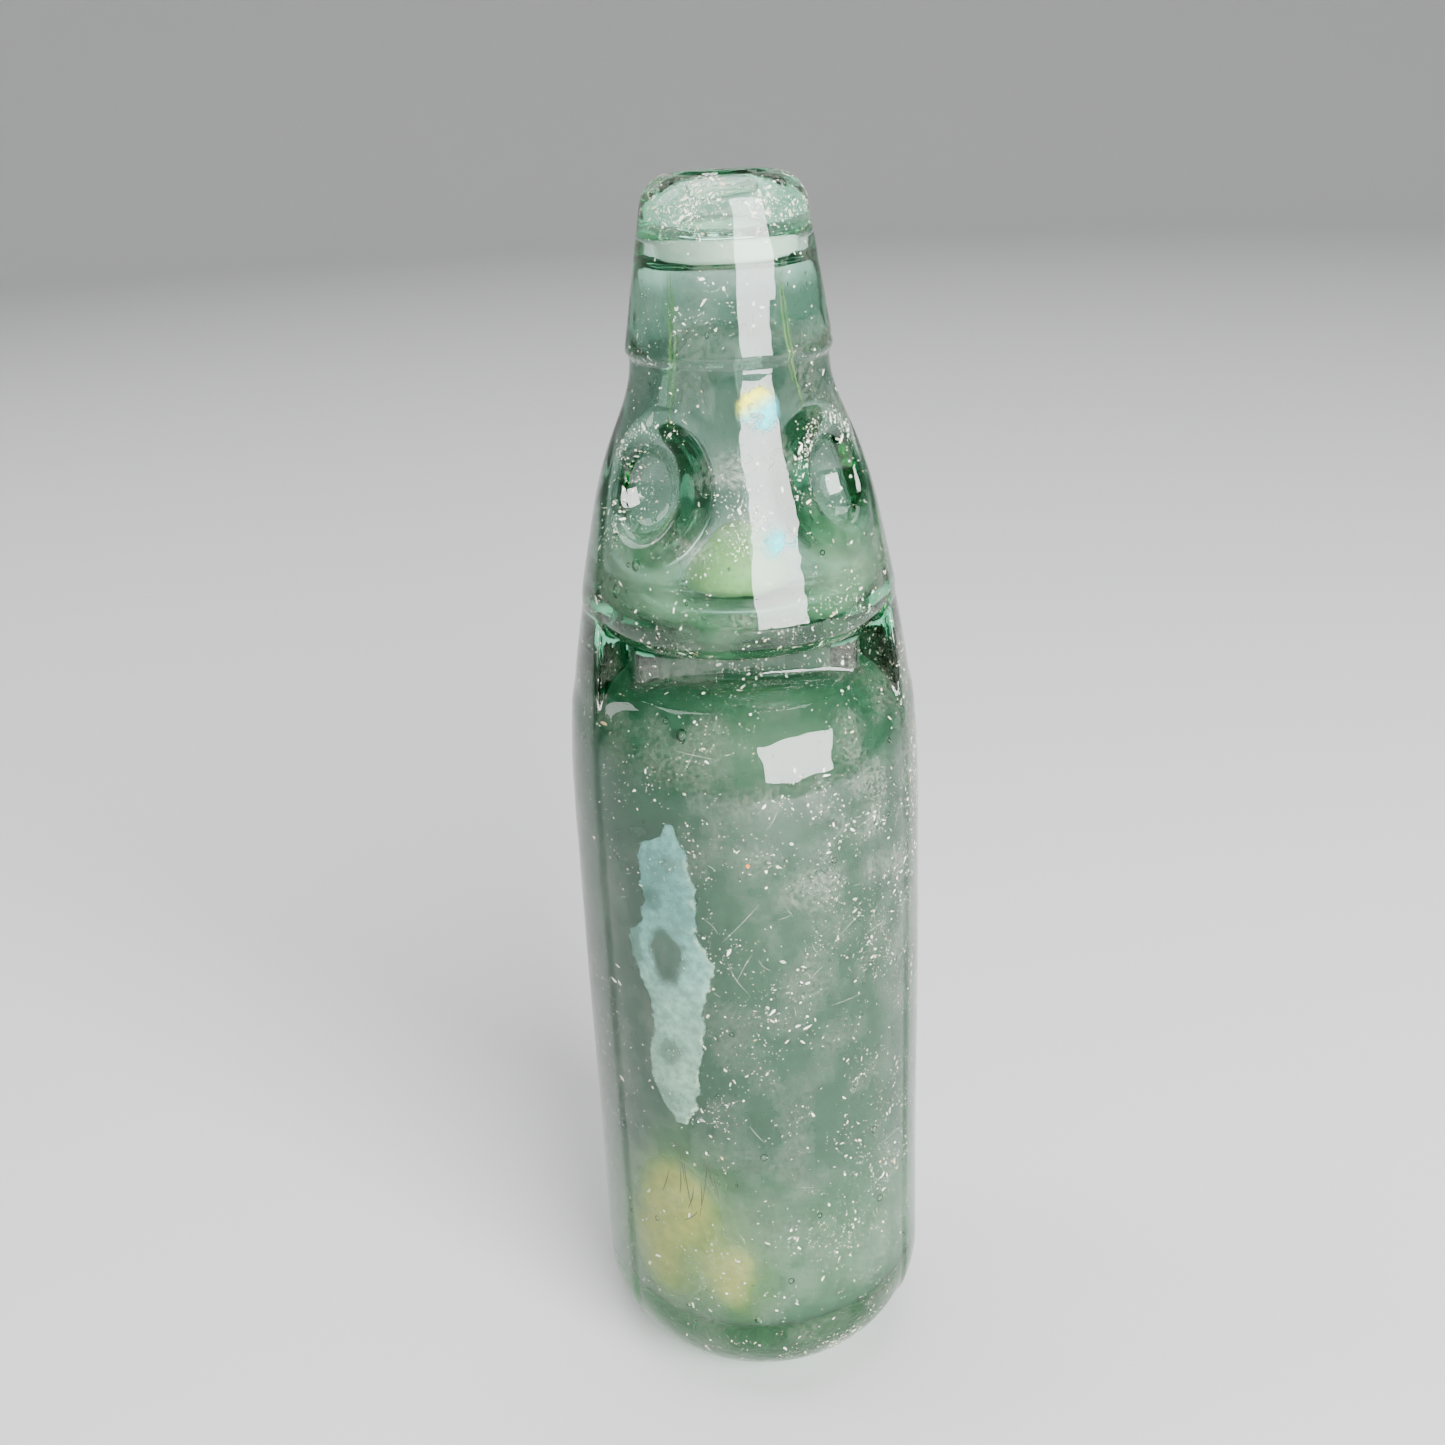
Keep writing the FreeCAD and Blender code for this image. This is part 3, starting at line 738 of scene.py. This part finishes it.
def foot_scuff_and_painted_glow():
    """A frosted film just inside the underside, with a painted green glow: its bright green and its emission
    stand in for the light gathered in the thick glass of the foot.
    """
    points, faces = polygonise(foot_skin, *FOOT_GRID, FILM_CELL)
    points, normals = settle(foot_skin, points)
    cover = 0.9 * (1 - step_up(points[:, 2], 2.0, 6)) * (0.6 + 0.6 * cloud(points, 6, 45))
    mat = film_material("foot_scuff_and_painted_glow", (0.08, 0.5, 0.26), (0.1, 0.55, 0.3), 0.7, 900, 0.2)
    shader = mat.node_tree.nodes["Principled BSDF"]
    # painted glow: the film gives off green light though it is no lamp
    shader.inputs["Emission Color"].default_value = (0.01, 0.22, 0.11, 1)
    shader.inputs["Emission Strength"].default_value = 0.5
    film("foot_scuff_and_painted_glow", points, normals, faces, cover, cover, mat)


def painted_rainbow_highlight():
    """Two small patches of painted highlight on the neck: the blue and yellow iridescent sheen of the
    weathered glass, painted as colour.
    """
    points, normals, faces = skin_sheet(outside, np.linspace(-6, 26, 60), np.linspace(166, 199, 110), 0.045)
    turn, rise = bearing(points), points[:, 2]
    # painted highlight: spots of rainbow colour where the lamp's reflection shows on the neck
    painted_glint = spots(turn, rise, [(1.4, 10, 9, 193.5, 3), (0.6, 12, 8, 173, 3)])
    painted_glint *= step_up(cloud(points, 1.6, 35), 0.25, 0.55)
    film("painted_rainbow_highlight", points, normals, faces, step_up(painted_glint, 0.15, 0.7) * 0.85,
         step_up(rise - 0.15 * turn, 190.5, 194.0),
         film_material("painted_rainbow_highlight", (0.0, 0.7, 0.78), (0.85, 0.85, 0.0), 0.3, 1200, 0.2))


def inner_lines(name, lines, width, lift, mat, steps=9):
    """Thin lines drawn on the inside of the wall."""
    points, faces = ribbons(haze_skin, lines, width, lift, steps)
    make_piece(name, points, faces).data.materials.append(mat)


# ---------------------------------------------------------------- the marble and the rubber ring
def glass_marble():
    points, faces = ball(6)
    marble = make_piece("glass_marble", points * MARBLE_RADIUS + (0, 0, MARBLE_RISE), faces, points,
                        body="marble")
    marble.data.materials.append(
        mottled_material("marble_glass", (0.55, 0.9, 0.28), (0.9, 1.0, 0.5), 0.3, 130, 0.15, clear=0.05))
    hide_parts("marble")


def rubber_ring():
    """The ring, rounded a little at its outer edges and more at its inner ones."""
    outline = []
    for quarter, (reach, level, round_) in enumerate((
            (RING_RADIUS - RING_RIM, RING_HIGH.z - RING_RIM, RING_RIM),
            (RING_INNER + RING_LIP, RING_HIGH.z - RING_LIP, RING_LIP),
            (RING_INNER + RING_LIP, RING_LOW.z + RING_LIP, RING_LIP),
            (RING_RADIUS - RING_RIM, RING_LOW.z + RING_RIM, RING_RIM))):
        for angle in np.linspace(0, math.pi / 2, 9) + quarter * math.pi / 2:
            outline.append((reach + round_ * math.cos(angle), level + round_ * math.sin(angle)))
    ring = lathe("rubber_ring", outline, "bottle")
    ring.data.materials.append(
        mottled_material("ring_rubber", (0.6, 0.62, 0.5), (0.85, 0.86, 0.78), 0.7, 220, 0.4))
    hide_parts("sealing_ring")


# ---------------------------------------------------------------- all the pieces
outer_skin = bottle_glass()
cream = film_material("cream_wear", (0.9, 0.92, 0.78), (0.7, 0.5, 0.24), 0.5, 900, 0.3)
wear_specks(outer_skin, cream)
scratches(cream)
milky_patch()
outer_bloom()
haze_points, haze_faces = polygonise(haze_skin, *HAZE_GRID, FILM_CELL)
haze_points, haze_normals = settle(haze_skin, haze_points)
inner_haze_and_painted_shade(haze_points, haze_normals, haze_faces)
tan_residue(haze_points, haze_normals, haze_faces)
foot_scuff_and_painted_glow()
painted_rainbow_highlight()
# painted refraction lines on the neck
inner_lines(
    "neck_streaks", NECK_STREAKS, 0.22, 0.1,
    mottled_material("painted_refraction_streaks", (0.2, 0.42, 0.05), (0.42, 0.58, 0.08), 0.6, 260, 0.3, alpha=0.5), 17)
inner_lines(
    "residue_cracks", RESIDUE_CRACKS, 0.09, 0.16,
    mottled_material("dark_cracks", (0.04, 0.04, 0.02), (0.2, 0.15, 0.07), 0.8, 500, 0.5))
glass_marble()
rubber_ring()

# ---------------------------------------------------------------- floor, lights and camera
CAMERA_DISTANCE, CAMERA_HEIGHT = 0.26425, 0.24342   # metres
CAMERA_TURN, CAMERA_PITCH, CAMERA_HEADING, CAMERA_ROLL = -4.2, 22.71, 3.37, -2.56   # degrees
CAMERA_LENS = 39.01   # millimetres


def studio():
    """A pale round floor that sweeps up into a plain wall on every side."""
    bend = [(2.2 + 1.4 * math.sin(a), 1.4 - 1.4 * math.cos(a)) for a in np.linspace(0, math.pi / 2, 24)]
    line = [(0.4, 0.0)] + bend + [(3.6, 3.2)]
    turns, rows = 96, len(line)
    points = [(0.0, 0.0, 0.0)]
    for turn in np.linspace(0, 2 * math.pi, turns, endpoint=False):
        points += [(reach * math.cos(turn), reach * math.sin(turn), rise) for reach, rise in line]
    faces = []
    for i in range(turns):
        here, after = 1 + i * rows, 1 + (i + 1) % turns * rows
        faces.append((0, here, after))
        faces += [(here + j, here + j + 1, after + j + 1, after + j) for j in range(rows - 1)]
    mesh = bpy.data.meshes.new("floor")
    mesh.from_pydata(points, [], faces)
    mesh.shade_smooth()
    floor = bpy.data.objects.new("floor", mesh)
    bpy.context.scene.collection.objects.link(floor)
    mat, _, shader = material("floor")
    shader.inputs["Base Color"].default_value = (0.62, 0.625, 0.62, 1)
    shader.inputs["Roughness"].default_value = 0.8
    mesh.materials.append(mat)


def lamp(name, place, target, size, power):
    """A white area lamp of this width and height, aimed at a target."""
    light = bpy.data.lights.new(name, "AREA")
    light.shape = "RECTANGLE"
    light.size, light.size_y = size
    light.energy = power
    lamp_object = bpy.data.objects.new(name, light)
    bpy.context.scene.collection.objects.link(lamp_object)
    lamp_object.location = place
    aim = Vector(target) - Vector(place)
    lamp_object.rotation_euler = aim.to_track_quat("-Z", "Y").to_euler()


def around(azimuth, elevation, distance, height=0.15):
    """A place round the bottle: azimuth from the camera's side towards its right."""
    a, e = math.radians(azimuth + CAMERA_TURN), math.radians(elevation)
    return (distance * math.cos(e) * math.sin(a), -distance * math.cos(e) * math.cos(a),
            height + distance * math.sin(e))


def soft_room():
    """A faint even light from all round."""
    world = bpy.data.worlds.new("soft_room")
    world.use_nodes = True
    background = world.node_tree.nodes["Background"]
    background.inputs["Color"].default_value = (0.8, 0.82, 0.84, 1)
    background.inputs["Strength"].default_value = 0.3
    bpy.context.scene.world = world


def place_camera():
    camera = bpy.data.objects.new("camera", bpy.data.cameras.new("camera"))
    bpy.context.scene.collection.objects.link(camera)
    camera.data.sensor_width = 36
    camera.data.lens = CAMERA_LENS
    camera.data.clip_start = 0.01
    turn = math.radians(CAMERA_TURN)
    stand = (CAMERA_DISTANCE * math.sin(turn), -CAMERA_DISTANCE * math.cos(turn), CAMERA_HEIGHT)
    camera.matrix_world = (
        Matrix.Translation(stand)
        @ Matrix.Rotation(math.radians(-CAMERA_HEADING), 4, "Z")
        @ Matrix.Rotation(math.radians(90 - CAMERA_PITCH), 4, "X")
        @ Matrix.Rotation(math.radians(CAMERA_ROLL), 4, "Z"))
    bpy.context.scene.camera = camera


studio()
lamp("window", around(31, 20.5, 1.1), (0, 0, 0.15), (0.76, 0.76), 56)
lamp("overhead", (0.0, 0.4, 1.9), (0, 0.2, 0), (1.6, 1.6), 34)
lamp("fill", around(-100, 35, 1.4), (0, 0, 0.1), (0.5, 0.9), 7)
soft_room()
light_paths = bpy.context.scene.cycles
light_paths.max_bounces = 16
light_paths.glossy_bounces = 8
light_paths.transmission_bounces = 14
light_paths.transparent_max_bounces = 16
place_camera()
